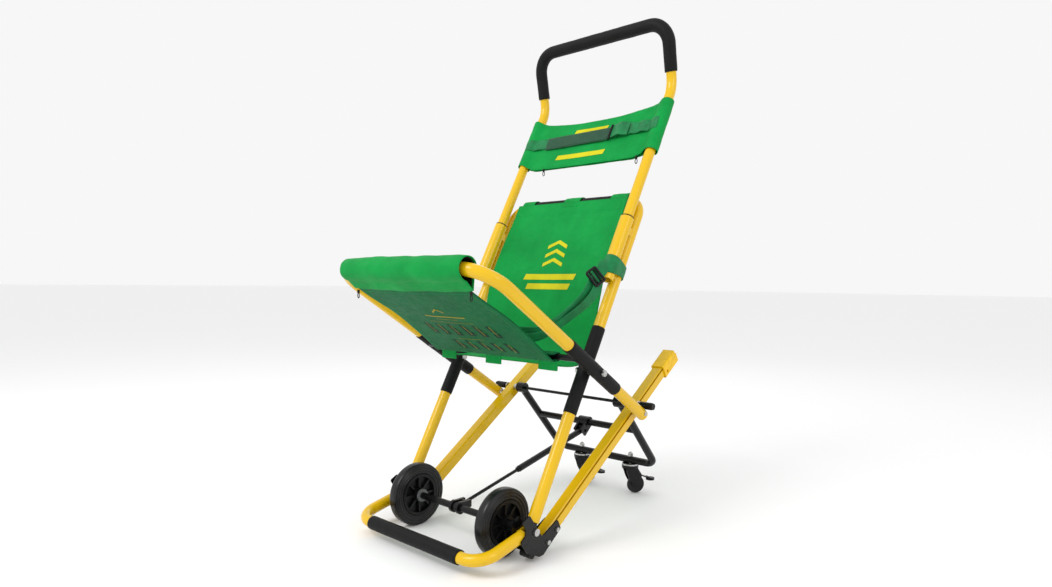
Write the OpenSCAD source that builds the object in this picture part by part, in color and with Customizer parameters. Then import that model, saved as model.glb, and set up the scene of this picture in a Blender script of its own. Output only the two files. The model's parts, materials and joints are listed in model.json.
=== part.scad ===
// Stair chair: a folding evacuation chair with belt tracks, front wheels and a swing-out caster frame.
// Frame: +X is the sitter's left, +Y the chair's rear, +Z up. The origin is on the floor under the middle.
// Side-view points are [y, z], measured from the point of the floor under the front axle.

/* [Back frame] */
// Angle of the back frame above the horizontal
back_angle = 61.4; // [58:0.1:65]
// Length from the main pivot to the top crossbar
back_length = 812; // [780:1:830]
// Half the distance between the two uprights
upright_x = 202; // [200:1:204]
// Radius of the upright tube
upright_r = 13.5; // [12.5:0.1:13.5]
// Distance along the upright from the main pivot to the seat pivot
seat_pivot_at = 366; // [360:1:370]

/* [Handle] */
// Angle of the handle's upper part above the horizontal
handle_angle = 102.5; // [95:0.5:110]
// Distance from the bend in the handle to its grip bar
handle_reach = 150.7; // [140:0.1:160]
// Radius of the sliding handle tube
handle_r = 12.5; // [11:0.1:12.5]
// Distance of the handle tube in front of the upright
handle_offset = 32; // [32:0.5:34]
// Radius of the foam grip
grip_r = 16; // [15:0.5:18]

/* [Seat] */
// Angle of the seat frame's front end above the horizontal, measured from the rear
seat_angle = 147.8; // [146:0.1:150]
// Distance from the seat pivot to the front bar
seat_front = 408; // [400:1:412]
// Half the distance between the two seat side tubes
seat_x = 238; // [238:0.5:240]
// Radius of the seat tube
seat_r = 13.5; // [12.5:0.1:13.5]
// Radius of the padded roll on the front bar
roll_r = 26; // [22:1:28]

/* [Tracks] */
// Angle of the tracks above the horizontal
track_angle = 35; // [34:0.1:36]
// Length of each track rail
track_length = 603; // [590:1:610]
// Distance from the main pivot down to the slot's centre line
track_drop = 34; // [33:0.5:36]
// Distance along the slot line to the caster pivot rod
rod_at = 437; // [436:0.5:440]

/* [Wheels] */
// Radius of a front wheel
wheel_r = 75; // [70:1:76]
// Half the distance between the two front wheels
wheel_x = 142; // [138:1:144]
// Width of a front wheel
wheel_w = 28; // [24:1:30]
// Radius of a caster wheel
caster_r = 25; // [22:1:26]
// Half the distance between the two casters
caster_x = 84; // [75:1:90]
// Angle that the left caster trails at, seen from above
left_trail = 57; // [0:1:180]
// Angle that the right caster trails at, seen from above
right_trail = 12; // [0:1:180]

/* [Footrest] */
// Half the distance between the two footrest legs
footrest_x = 202; // [201.5:0.1:202.2]
// Distance from the main pivot to the footrest bar
footrest_reach = 150.7; // [148:0.1:155]
// Angle of the footrest legs, measured from the rear
footrest_angle = 192.7; // [188:0.1:195]

/* [Caster frame] */
// Half the distance between the two arms
arm_x = 163; // [158:1:164]
// Length from the pivot rod to the bottom bar
arm_length = 265; // [255:1:270]
// Angle of the arms below the horizontal
arm_angle = -47.1; // [-50:0.1:-45]

/* [Hidden] */

$fn = 64;
yellow = "gold";
green = "forestgreen";
black = "#222222";
steel = "silver";
fit = 0.05;
gap = 0.3;
wall = 2;

// A point at a distance along a side-view direction, then across it towards the direction's left.
function go(p, angle, along, across = 0) =
    [p[0] + along * cos(angle) - across * sin(angle), p[1] + along * sin(angle) + across * cos(angle)];

// Points of the side view.
axle = [0, wheel_r];
pivot = [20, 67];
seat_pivot = go(pivot, back_angle, seat_pivot_at);
seat_bar = go(seat_pivot, seat_angle, seat_front);
slot_start = go(pivot, track_angle, 0, -track_drop);
// The slide pin is where the seat tube crosses the slot line.
slot_rise = (seat_pivot - slot_start) * [-sin(track_angle), cos(track_angle)];
seat_rear = slot_rise / sin(seat_angle - track_angle);
rod = go(slot_start, track_angle, rod_at);
footrest_bar = go(pivot, footrest_angle, footrest_reach);
caster_bar = go(rod, arm_angle, arm_length);

// Radii and places shared by several parts.
upright_bend = 45;
sleeve_r = 15.5;
foam_r = 17;
receiver_r = 16.2;
receiver_from = 579;
receiver_to = 741;
sleeve_from = 263;
sleeve_to = 473;
handle_from = 672;
upright_from = 18;
kink_at = 1116;
kink_r = 70;
kink_turn = handle_angle - back_angle;
kink_cut = kink_r * tan(kink_turn / 2);
handle_bend = 50;
grip_from = 36;
seat_bend = 70;
seat_end = 224;
seat_sleeve_front = 123;
seat_sleeve_rear = 82;
rear_bar_at = 83;
rear_bar_drop = 10;
rear_bar_r = 7;
main_bolt_r = 5;
seat_bolt_r = 4;
pin_r = 3;
rod_r = 4;
axle_r = 8;
plate_t = 3;
rail_half = 14;
rail_top = 5;
rail_bottom = -21;
rail_wall = 2.5;
slot_half = 2.5;
web_from = 4.4;
web_to = 5.7;
belt_t = 2.5;
belt_half = 10;
pulley_v = -15;
pulley_r = 6.2;
belt_r = 6.5;
front_pulley_at = 14;
rear_pulley_at = 584;
second_bolt_at = 50;
footrest_bend = 48;
footrest_leg_from = 24;
arm_r = 10;
arm_bend = 30;
knuckle_r = 14;
mid_bar_at = 114.5;
eye_at = 121.4;
eye_across = -24.8;
strut_eye = go(rod, arm_angle, eye_at, eye_across);
strut_front = [22, 80];
strut_line = strut_eye - strut_front;
strut_angle = atan2(strut_line[1], strut_line[0]);
strut_length = norm(strut_line);
strut_body_r = 8;
strut_body = 262;
strut_rod_r = 4;
caster_trail = 18;
caster_half = 9;
fork_top = caster_bar[1] - arm_r - 4;
brake_reach = 68;
brake_tip_r = 6;
brake_pivot = [10, 57];
brake_drop = 21;
fabric_t = 2.4;
fabric_half = 176;

// Middle of the chair from front to back, so that the origin is under it.
front_y = seat_bar[0] - roll_r;
rear_y = caster_bar[0] + (brake_reach - 6) * sin(left_trail) + brake_tip_r + 6;
mid_y = (front_y + rear_y) / 2;

// Moves children to a side-view point.
module at(p, x = 0) {
    translate([x, p[0] - mid_y, p[1]]) children();
}

// Turns the vertical to a side-view direction.
module lean(angle) {
    rotate([angle - 90, 0, 0]) children();
}

// Turns the vertical to the sitter's left, about the middle.
module across(from, to, x_side = 1) {
    translate([x_side > 0 ? from : -to, 0, 0]) rotate([0, 90, 0]) linear_extrude(to - from) children();
}

// A round bar or ring along X at a side-view point.
module bar_x(p, from, to, r, bore = 0) {
    at(p) across(from, to) difference() {
        circle(r);
        if (bore > 0) circle(bore);
    }
}

// The same bar on both sides of the chair.
module bars_x(p, from, to, r, bore = 0) {
    bar_x(p, from, to, r, bore);
    bar_x(p, -to, -from, r, bore);
}

// A flat plate at a side-view outline, from one X to another.
module plate_x(from, to) {
    translate([from, -mid_y, 0]) rotate([90, 0, 90]) linear_extrude(to - from) children();
}

// Both sides of the chair.
module both() {
    children();
    mirror([1, 0, 0]) children();
}

// An outline whose corners are rounded: each corner is [point, radius].
function unit(v) = v / norm(v);
function corner_arc(a, b, c, r) =
    let (u = unit(a - b), w = unit(c - b), half = acos(u * w) / 2, cut = r / tan(half),
         middle = b + unit(u + w) * r / sin(half), start = b + u * cut, end = b + w * cut,
         s = atan2(start[1] - middle[1], start[0] - middle[0]),
         turn = (atan2(end[1] - middle[1], end[0] - middle[0]) - s + 540) % 360 - 180)
    [for (i = [0:6]) middle + r * [cos(s + turn * i / 6), sin(s + turn * i / 6)]];
function rounded(points, r) =
    let (n = len(points))
    [for (i = [0:n - 1]) each corner_arc(points[(i + n - 1) % n], points[i], points[(i + 1) % n], r)];

// A U of round bar in the local X-Z plane, open at the bottom.
module u_bar(half, from, to, bend, r) {
    both() {
        translate([half, 0, from]) cylinder(h = to - bend - from, r = r);
        translate([half - bend, 0, to - bend]) rotate([90, 0, 0])
            rotate_extrude(angle = 90) translate([bend, 0]) circle(r);
    }
    translate([bend - half, 0, to]) rotate([0, 90, 0]) cylinder(h = 2 * (half - bend), r = r);
}

module u_tube(half, from, to, bend, r) {
    difference() {
        u_bar(half, from, to, bend, r);
        u_bar(half, from - 1, to, bend, r - wall);
    }
}

// A flat strip of an even thickness along side-view points, from one X to another.
function left_of(a, b) = unit([a[1] - b[1], b[0] - a[0]]);
function strip_side(p, t) =
    let (n = len(p))
    [for (i = [0:n - 1])
        let (before = left_of(p[max(i - 1, 0)], p[max(i, 1)]),
             after = left_of(p[min(i, n - 2)], p[min(i + 1, n - 1)]), mean = unit(before + after))
        p[i] + mean * t / 2 / (mean * after)];
module strip(p, t, half) {
    ahead = strip_side(p, t);
    behind = strip_side(p, -t);
    n = len(p);
    plate_x(-half, half) polygon([each ahead, for (i = [1:n]) behind[n - i]]);
}

// ---- Tracks ----

rail_outline = [
    [-rail_half, rail_bottom], [rail_half, rail_bottom], [rail_half, rail_top - 3],
    [rail_half - 3, rail_top], [3 - rail_half, rail_top], [-rail_half, rail_top - 3]];

// Places children in a rail's own frame: Z runs up the rail, X across it and Y away from its top.
module on_rail(along = 0) {
    at(go(slot_start, track_angle, along), upright_x) lean(track_angle) children();
}

module rail_section() {
    inner = rail_half - rail_wall;
    difference() {
        scale([1, -1]) polygon(rail_outline);
        translate([-inner, rail_wall - rail_top]) square([2 * inner, web_from + rail_top - rail_wall]);
        translate([-inner, web_to]) square([2 * inner, 30]);
        translate([inner - 1, -slot_half]) square([rail_wall + 2, 2 * slot_half]);
    }
}

module rail() {
    color(yellow) difference() {
        on_rail(-5) linear_extrude(track_length) rail_section();
        bar_x(rod, upright_x - 20, upright_x + 20, rod_r + fit);
        for (s = [front_pulley_at, second_bolt_at, rear_pulley_at])
            bar_x(go(slot_start, track_angle, s, pulley_v), upright_x - 20, upright_x + 20, pin_r + fit);
    }
}

module rail_left() { rail(); }
module rail_right() { mirror([1, 0, 0]) rail(); }

cap_from = 572;
cap_to = 640;
module rail_caps() {
    color(yellow) both() difference() {
        on_rail(cap_from) difference() {
            linear_extrude(cap_to - cap_from) polygon(rounded([[-18, -9], [18, -9], [18, 28], [-18, 28]], 5));
            translate([0, 0, cap_to - cap_from]) rotate([-38, 0, 0])
                translate([-30, -40, -7]) cube([60, 40, 20]);
        }
        on_rail(cap_from - 1) linear_extrude(track_length - 5 - cap_from + 1 + 0.5)
            translate([-rail_half - 0.1, -rail_top - 0.1]) square([2 * rail_half + 0.2, 29.6]);
        bar_x(go(slot_start, track_angle, rear_pulley_at, pulley_v), upright_x - 30, upright_x + 30, 4.5);
    }
}

module belt_outline(r) {
    length = rear_pulley_at - front_pulley_at;
    circle(r);
    translate([0, -r]) square([length, 2 * r]);
    translate([length, 0]) circle(r);
}

module track_belts() {
    color(black) both() at(go(slot_start, track_angle, front_pulley_at, pulley_v), upright_x - belt_half)
        rotate([90, 0, 90]) rotate([0, 0, track_angle]) linear_extrude(2 * belt_half) difference() {
            belt_outline(belt_r + belt_t);
            belt_outline(belt_r);
        }
}

module pulley(along, side) {
    color(steel) mirror([side < 0 ? 1 : 0, 0, 0])
        bar_x(go(slot_start, track_angle, along, pulley_v),
              upright_x - 9, upright_x + 9, pulley_r, pin_r + fit);
}

module front_pulley_left() { pulley(front_pulley_at, 1); }
module front_pulley_right() { pulley(front_pulley_at, -1); }
module rear_pulley_left() { pulley(rear_pulley_at, 1); }
module rear_pulley_right() { pulley(rear_pulley_at, -1); }

// ---- Main brackets ----

// Outline of a bracket plate: one arm up the back frame and one up the track.
outer_plate = [
    [0, 108], [-22, 96], [-11, 80], [-11, 66], [-26, 56], [-5, 27],
    [32, 10], [46, 11], [103, 54], [92, 77], [41, 52]];
inner_plate = [
    [0, 100], [-18, 92], [-21, 60], [-4, 30], [32, 11], [46, 12], [102, 54], [91, 75], [41, 51]];

module bracket(outline, from, to, axle_hole) {
    difference() {
        plate_x(from, to) polygon(rounded(outline, 5));
        bar_x(pivot, from - 1, to + 1, main_bolt_r + fit);
        for (s = [front_pulley_at, second_bolt_at])
            bar_x(go(slot_start, track_angle, s, pulley_v), from - 1, to + 1, pin_r + fit);
        if (axle_hole) bar_x(axle, from - 1, to + 1, axle_r + fit);
    }
}

module bracket_outer_plates() {
    color(black) both() bracket(outer_plate, upright_x + rail_half, upright_x + rail_half + plate_t, false);
}

module bracket_inner_plates() {
    color(black) both() bracket(inner_plate, upright_x - rail_half - plate_t, upright_x - rail_half, true);
}

// A bolt along X with a head outside and a nut inside.
module bolt_x(p, from, to, r, head_r, head_t = 4) {
    bar_x(p, from, to, r);
    bar_x(p, to, to + head_t, head_r);
    at(p, from - head_t) rotate([0, 90, 0]) cylinder(h = head_t, r = head_r, $fn = 6);
}

module rail_bolts() {
    inner = upright_x - rail_half;
    outer = upright_x + rail_half;
    color(steel) both() {
        for (s = [front_pulley_at, second_bolt_at])
            bolt_x(go(slot_start, track_angle, s, pulley_v), inner - plate_t, outer + plate_t, pin_r, 5);
        bar_x(go(slot_start, track_angle, rear_pulley_at, pulley_v), inner, outer, pin_r);
    }
}

module main_pivot_bolts() {
    color(steel) both() bolt_x(
        pivot, upright_x - rail_half - plate_t, upright_x + rail_half + plate_t, main_bolt_r, 8);
}

module bracket_feet() {
    color(black) both() bar_x([13, 19], upright_x - rail_half, upright_x + rail_half, 9);
}

// ---- Front axle and wheels ----

module front_axle() {
    color(black) bar_x(axle, rail_half - upright_x, upright_x - rail_half, axle_r);
}

module axle_clamp() {
    color(black) difference() {
        union() {
            bar_x(axle, -14, 14, 14);
            both() plate_x(6.5, 14) polygon([[-2, wheel_r - 8], [32, 72], [32, 88], [-2, wheel_r + 13]]);
        }
        bar_x(axle, -20, 20, axle_r + fit);
        bar_x(axle, -6.5, 6.5, 60, 10);
    }
}

module axle_spacers() {
    color(black)
        bars_x(axle, wheel_x + wheel_w / 2 + 4 + gap, upright_x - rail_half - plate_t, 11, axle_r + fit);
}

module hub_washers() {
    color(steel) bars_x(axle, wheel_x - wheel_w / 2 - 8, wheel_x - wheel_w / 2 - 4 - gap, 15, axle_r + fit);
}

hub_r = 50;
module tyre(side) {
    color(black) at(axle, side * wheel_x) rotate([0, 90, 0]) rotate_extrude() {
        translate([hub_r, -wheel_w / 2 + 2]) square([wheel_r - hub_r - 4, wheel_w - 4]);
        translate([hub_r + 2, -wheel_w / 2]) square([wheel_r - hub_r - 12, wheel_w]);
        translate([wheel_r - 12, -wheel_w / 2 + 5]) square([12, wheel_w - 10]);
        for (s = [-1, 1]) translate([wheel_r - 10, s * (wheel_w / 2 - 7)]) circle(7);
    }
}

module hub(side) {
    color(black) at(axle, side * wheel_x) difference() {
        union() {
            rotate([0, 90, 0]) rotate_extrude() {
                translate([axle_r + fit, -wheel_w / 2 - 4]) square([9, wheel_w + 8]);
                translate([axle_r + 2, -2.5]) square([hub_r - 8 - axle_r, 5]);
                translate([hub_r - 7, -wheel_w / 2 + 1]) square([7, wheel_w - 2]);
            }
            for (a = [0:45:315])
                rotate([a, 0, 0]) translate([-10, -2.5, axle_r + 6]) cube([20, 5, hub_r - 20]);
        }
        rotate([0, 90, 0]) cylinder(h = 80, r = axle_r + fit, center = true);
    }
}

module front_tyre_left() { tyre(1); }
module front_tyre_right() { tyre(-1); }
module front_hub_left() { hub(1); }
module front_hub_right() { hub(-1); }

// ---- Caster pivot rod ----

module caster_pivot_rod() {
    color(black) bar_x(rod, -240, 240, rod_r);
}

module rod_spacers() {
    color(steel) {
        bars_x(rod, arm_x + 12 + gap, upright_x - rail_half, 8, rod_r + fit);
        bars_x(rod, upright_x + rail_half, upright_x + rail_half + 3, 9, rod_r + fit);
    }
}

module pivot_knobs() {
    color(black) both() difference() {
        at(rod, 223) rotate([0, 90, 0]) rotate_extrude() {
            square([8, 37]);
            translate([0, 2]) square([9, 31]);
            translate([0, 31]) intersection() {
                scale([1, 0.66]) circle(9);
                square(10);
            }
        }
        bar_x(rod, 200, 240, rod_r + fit);
    }
}

// ---- Back frame ----

module back(along = 0, front = 0) {
    at(go(pivot, back_angle, along, front)) lean(back_angle) children();
}

module back_frame_tube() {
    color(yellow) difference() {
        back() u_tube(upright_x, upright_from, back_length, upright_bend, upright_r);
        bars_x(seat_pivot, upright_x - 20, upright_x + 20, seat_bolt_r + fit);
        both() for (s = screw_places)
            back(s) translate([upright_x, 0, 0]) rotate([90, 0, 0])
                cylinder(h = 60, r = 2.5 + fit, center = true);
    }
}

module upright_end_plugs() {
    color(black) both() difference() {
        back() translate([upright_x, 0, 0]) {
            translate([0, 0, upright_from]) cylinder(h = 26, r = upright_r - wall);
            translate([-6, -10, 0]) cube([12, 20, upright_from]);
            rotate([0, 90, 0]) cylinder(h = 12, r = 10, center = true);
        }
        bar_x(pivot, upright_x - 20, upright_x + 20, main_bolt_r + fit);
    }
}

module upright_sleeves() {
    color(black) both() difference() {
        back(sleeve_from) translate([upright_x, 0, 0]) cylinder(h = sleeve_to - sleeve_from, r = sleeve_r);
        back(sleeve_from - 1) translate([upright_x, 0, 0]) cylinder(h = 300, r = upright_r + fit);
        bar_x(seat_pivot, upright_x - 20, upright_x + 20, seat_bolt_r + fit);
    }
}

module top_bar_foam() {
    color(black) back(back_length) across(-156, 156) difference() {
        circle(foam_r);
        circle(upright_r + fit);
    }
}

screw_places = [600, 715];
module handle_receivers() {
    color(yellow) both() difference() {
        back(receiver_from, handle_offset) translate([upright_x, 0, 0])
            cylinder(h = receiver_to - receiver_from, r = receiver_r);
        back(receiver_from - 1, handle_offset) translate([upright_x, 0, 0])
            cylinder(h = 200, r = handle_r + 0.08);
    }
}

module receiver_collars() {
    color(black) both() back(receiver_to, handle_offset) translate([upright_x, 0, 0]) difference() {
        cylinder(h = 3, r = receiver_r - 0.6);
        translate([0, 0, -1]) cylinder(h = 6, r = handle_r + 0.08);
    }
}

module receiver_saddles() {
    color(yellow) both() for (s = screw_places) back(s) translate([upright_x, 0, 0]) difference() {
        translate([-9, -handle_offset + 4, -9]) cube([18, handle_offset - 8, 18]);
        translate([0, 0, -20]) cylinder(h = 40, r = upright_r + fit);
        translate([0, -handle_offset, -20]) cylinder(h = 40, r = receiver_r + fit);
        rotate([90, 0, 0]) cylinder(h = 60, r = 2.5 + fit, center = true);
    }
}

module receiver_screws() {
    color(steel) both() for (s = screw_places) back(s) translate([upright_x, 0, 0]) {
        rotate([90, 0, 0]) translate([0, 0, -upright_r]) cylinder(h = upright_r + 15, r = 2.5);
        translate([0, upright_r + 3, 0]) rotate([90, 0, 0]) cylinder(h = 3, r = 5);
    }
}

module seat_pivot_bolts() {
    inner = upright_x - sleeve_r;
    color(steel) both() {
        bolt_x(seat_pivot, inner, seat_x + sleeve_r + 1, seat_bolt_r, 7, 5);
        bar_x(seat_pivot, upright_x + sleeve_r, seat_x - sleeve_r - gap, 8, seat_bolt_r + fit);
    }
}

// Side view of the backrest, from the seat's rear edge up to the crossbar.
back_top = go(pivot, back_angle, back_length + 8, foam_r + 1.6);
back_profile = [
    [134, 401], [180, 393], [222, 400], [246, 418], [260, 450], [270, 520],
    go(pivot, back_angle, 632, foam_r + 1.6), back_top];

module backrest_fabric() {
    color(green) {
        strip(back_profile, fabric_t, fabric_half);
        for (x = [-144, 0, 144]) back(back_length) across(x - 21, x + 21) difference() {
            circle(foam_r + 2.8);
            circle(foam_r + 0.4);
        }
    }
}

strap_at = 612;
module strap_outline(extra) {
    hull() {
        circle(upright_r + extra);
        translate([0, -handle_offset]) circle(receiver_r + extra);
    }
}

module lap_strap() {
    color(green) {
        back(strap_at) translate([upright_x, 0, 0]) linear_extrude(38) difference() {
            strap_outline(3.2);
            strap_outline(1);
        }
        hull() {
            at([258, 590], 172) cube([30, 2, 30], center = true);
            at([246, 540], 150) cube([34, 2, 26], center = true);
        }
    }
}

module strap_buckle() {
    color(black) at([245, 603], 180) rotate([-18, 0, -30]) difference() {
        cube([30, 7, 46], center = true);
        translate([0, 0, 11]) cube([22, 20, 7], center = true);
        translate([0, 0, -11]) cube([22, 20, 7], center = true);
    }
}

// ---- Handle ----

kink = go(pivot, back_angle, kink_at, handle_offset);
kink_start = go(kink, back_angle, -kink_cut);
kink_middle = go(kink_start, back_angle, 0, kink_r);

module handle_ring() {
    difference() {
        circle(handle_r);
        circle(handle_r - wall);
    }
}

// The legs from their lower ends to the end of the kink, about the kink's middle.
module handle_legs() {
    leg = kink_at - kink_cut - handle_from;
    both() translate([upright_x, kink_r, -leg]) linear_extrude(leg) handle_ring();
    both() translate([upright_x, 0, 0]) rotate([90, 0, 90])
        rotate_extrude(angle = kink_turn) translate([kink_r, 0]) handle_ring();
}

// The part above the kink, about the kink's middle.
module handle_loop(r, from = 0) {
    translate([0, kink_r, 0]) u_bar(upright_x, from, handle_reach - kink_cut, handle_bend, r);
}

module handle_tube() {
    color(yellow) at(kink_middle) lean(back_angle) {
        handle_legs();
        rotate([kink_turn, 0, 0]) difference() {
            handle_loop(handle_r, 0.02);
            handle_loop(handle_r - wall, -1);
        }
    }
}

module handle_grip() {
    color(black) at(kink) lean(handle_angle) difference() {
        u_bar(upright_x, grip_from, handle_reach, handle_bend, grip_r);
        u_bar(upright_x, grip_from - 1, handle_reach, handle_bend, handle_r + fit);
    }
}

head_from = 925;
head_to = 1082;
module head_support() {
    color(green) back(head_from, handle_offset) {
        both() translate([upright_x, 0, 0]) difference() {
            cylinder(h = head_to - head_from, r = 16);
            translate([0, 0, -1]) cylinder(h = 200, r = handle_r + fit);
        }
        difference() {
            translate([-upright_x, -9, -8]) cube([2 * upright_x, 5, head_to - head_from - 12]);
            both() translate([upright_x, 0, -10]) cylinder(h = 200, r = 15.9);
        }
    }
}

module head_strap() {
    color(green) back(head_from + 58, handle_offset)
        translate([-upright_x + 20, -12.5, 0]) cube([2 * upright_x - 40, 3, 28]);
}

// ---- Seat frame ----

module seat(along = 0, above = 0) {
    at(go(seat_pivot, seat_angle, along, -above)) lean(seat_angle) children();
}

module seat_frame_tube() {
    color(yellow) difference() {
        seat() u_tube(seat_x, -seat_end, seat_front, seat_bend, seat_r);
        bars_x(seat_pivot, seat_x - 20, seat_x + 20, seat_bolt_r + fit);
        bars_x(slide_point, seat_x - 20, seat_x + 20, pin_r + fit);
    }
}

slide_point = go(seat_pivot, seat_angle, -seat_rear);

module seat_sleeves() {
    color(black) both() difference() {
        seat(-seat_sleeve_rear) translate([seat_x, 0, 0])
            cylinder(h = seat_sleeve_front + seat_sleeve_rear, r = sleeve_r);
        seat(-seat_sleeve_rear - 1) translate([seat_x, 0, 0]) cylinder(h = 300, r = seat_r + fit);
        bar_x(seat_pivot, seat_x - 20, seat_x + 20, seat_bolt_r + fit);
    }
}

module seat_end_caps() {
    color(yellow) both() seat(-seat_end) translate([seat_x, 0, 0]) mirror([0, 0, 1]) rotate_extrude() {
        intersection() {
            scale([1, 0.45]) circle(seat_r);
            square(20);
        }
    }
}

module seat_slide_pins() {
    color(steel) both() {
        bar_x(slide_point, upright_x + rail_half + 1, seat_x + seat_r, pin_r);
        bar_x(slide_point, upright_x + rail_half + 1, seat_x - seat_r, 5.5, pin_r + fit);
        bar_x(slide_point, seat_x + seat_r, seat_x + seat_r + 2, 5);
    }
}

rear_bar = go(seat_pivot, seat_angle, rear_bar_at, rear_bar_drop);
module seat_rear_bar() {
    color(black) difference() {
        bar_x(rear_bar, -seat_x, seat_x, rear_bar_r, rear_bar_r - 1.5);
        seat() both() translate([seat_x, 0, 0]) cylinder(h = 300, r = sleeve_r + fit);
    }
}

// The seam under the roll, where the seat's underside begins.
seam = [-137, 568];
module seat_roll() {
    color(green) difference() {
        plate_x(-188, 188) hull() {
            translate(seat_bar) circle(roll_r);
            translate(seam) circle(7);
        }
        seat() u_bar(seat_x, 0, seat_front, seat_bend, seat_r + gap);
    }
}

module seat_fabric() {
    color(green) {
        strip([seam + [9, -6], [-20, 502], rear_bar + [-12, -11], rear_bar + [2, -10]], fabric_t, 186);
    }
}

// ---- Footrest ----

module footrest_frame() {
    leg_r = upright_r - 0.5;
    color(yellow) difference() {
        union() {
            at(pivot) lean(footrest_angle) {
                difference() {
                    u_bar(footrest_x, footrest_leg_from, footrest_reach, footrest_bend, leg_r);
                    u_bar(footrest_x, footrest_leg_from + 4, footrest_reach, footrest_bend, leg_r - wall);
                }
                both() translate([189, -8, 0]) cube([4, 16, footrest_leg_from + 2]);
            }
            bars_x(pivot, 189, 193, 10);
        }
        bars_x(pivot, 180, 200, main_bolt_r + fit);
    }
}

module footrest_grip() {
    color(black) bar_x(footrest_bar, -146, 146, 16, upright_r - 0.5 + fit);
}

// ---- Caster frame and strut ----

module arm(along = 0, front = 0) {
    at(go(rod, arm_angle, along, front)) lean(arm_angle) children();
}

module caster_frame() {
    color(black) difference() {
        union() {
            arm() difference() {
                u_bar(arm_x, 0, arm_length, arm_bend, arm_r);
                u_bar(arm_x, 20, arm_length, arm_bend, arm_r - wall);
            }
            bars_x(rod, arm_x - 12, arm_x + 12, knuckle_r);
            difference() {
                bar_x(go(rod, arm_angle, mid_bar_at), -arm_x, arm_x, 9);
                arm() both() translate([arm_x, 0, 0]) cylinder(h = 300, r = arm_r - 1);
            }
        }
        bars_x(rod, arm_x - 20, arm_x + 20, rod_r + fit);
        both() at(caster_bar, caster_x) cylinder(h = 60, r = pin_r + 1 + fit, center = true);
    }
}

module strut_mount() {
    color(black) difference() {
        union() {
            bar_x(go(rod, arm_angle, mid_bar_at), -16, 16, 15);
            arm(mid_bar_at) both() translate([8.5, 2, -10]) cube([6, 34, 26]);
        }
        bar_x(go(rod, arm_angle, mid_bar_at), -20, 20, 9 + fit);
        bar_x(strut_eye, -20, 20, pin_r + 1 + fit);
    }
}

module strut(from = 0) {
    at(go(strut_front, strut_angle, from)) lean(strut_angle) children();
}

module strut_cylinder() {
    color(black) difference() {
        union() {
            strut(strut_length - strut_body) cylinder(h = strut_body - 14, r = strut_body_r);
            strut(strut_length - strut_body - 6) cylinder(h = 6, r = strut_body_r - 1.5);
            bar_x(strut_eye, -6, 6, 9);
            strut(strut_length - 16) translate([-5, -6, 0]) cube([10, 12, 14]);
            bar_x(strut_eye, -18, 18, pin_r + 1);
        }
        strut(strut_length - strut_body - 10) cylinder(h = strut_body - 20, r = strut_rod_r + fit);
    }
}

module strut_rod() {
    color(steel) {
        strut(6) cylinder(h = 210, r = strut_rod_r);
        bar_x(strut_front, -6, 6, 7);
    }
}

// ---- Casters ----

module caster_stems() {
    color(steel) both() at([caster_bar[0], 0], caster_x) {
        translate([0, 0, fork_top]) cylinder(h = 30, r = pin_r + 1);
        translate([0, 0, fork_top]) cylinder(h = 4, r = 22);
        translate([0, 0, caster_bar[1] + arm_r]) cylinder(h = 7, r = 8, $fn = 6);
        translate([0, 0, caster_bar[1] + arm_r + 7]) sphere(r = 6);
    }
}

// Places children in a caster's own frame: Z up from the floor and X along the trail.
module on_caster(side) {
    at([caster_bar[0], 0], side * caster_x) rotate([0, 0, side > 0 ? left_trail : right_trail]) children();
}

module fork(side) {
    color(black) on_caster(side) {
        difference() {
            union() {
                translate([0, 0, fork_top - 8 - gap]) cylinder(h = 8, r = 23);
                for (s = [-1, 1]) translate([-17, s * (caster_half + 2.5) - 1.5, fork_top - 14])
                    cube([36, 3, 13]);
                for (s = [-1, 1]) translate([caster_trail, s * (caster_half + 2.5) + 1.5, caster_r])
                    rotate([90, 0, 0]) linear_extrude(3) polygon([
                        [9, -4], [4, -9], [-4, -9], [-12, -2], [-26, 22], [-35, fork_top - caster_r - 10],
                        [1, fork_top - caster_r - 10], [12, 30], [13, 8]]);
            }
            translate([0, 0, fork_top - 20]) cylinder(h = 8, r = 12);
        }
        translate([caster_trail, 0, caster_r]) rotate([90, 0, 0])
            cylinder(h = 2 * caster_half + 8, r = pin_r, center = true);
    }
}

module caster_wheel(side) {
    color(black) on_caster(side) translate([caster_trail, 0, caster_r]) rotate([90, 0, 0])
        rotate_extrude() difference() {
            union() {
                translate([pin_r + fit, -caster_half + 1])
                    square([caster_r - pin_r - 4, 2 * caster_half - 2]);
                translate([caster_r - 6, 0]) intersection() {
                    scale([1, 1.3]) circle(6);
                    square([12, 2 * caster_half - 3], center = true);
                }
            }
            for (s = [-1, 1]) translate([9, s * caster_half - 2.5]) square([8, 5]);
        }
}

module brake_lever(side) {
    color(black) on_caster(side) {
        translate([brake_pivot[0], 0, brake_pivot[1]]) rotate([0, brake_drop, 0]) {
            translate([0, -7, 0]) cube([52, 14, 3]);
            translate([46, -10, -1.5]) cube([10, 20, 6]);
            rotate([90, 0, 0]) cylinder(h = 18, r = 4, center = true);
        }
        translate([brake_reach - 6, 0, 35]) cylinder(h = 6, r = brake_tip_r + 6);
    }
}

module caster_fork_left() { fork(1); }
module caster_fork_right() { fork(-1); }
module caster_wheel_left() { caster_wheel(1); }
module caster_wheel_right() { caster_wheel(-1); }
module brake_lever_left() { brake_lever(1); }
module brake_lever_right() { brake_lever(-1); }

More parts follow.
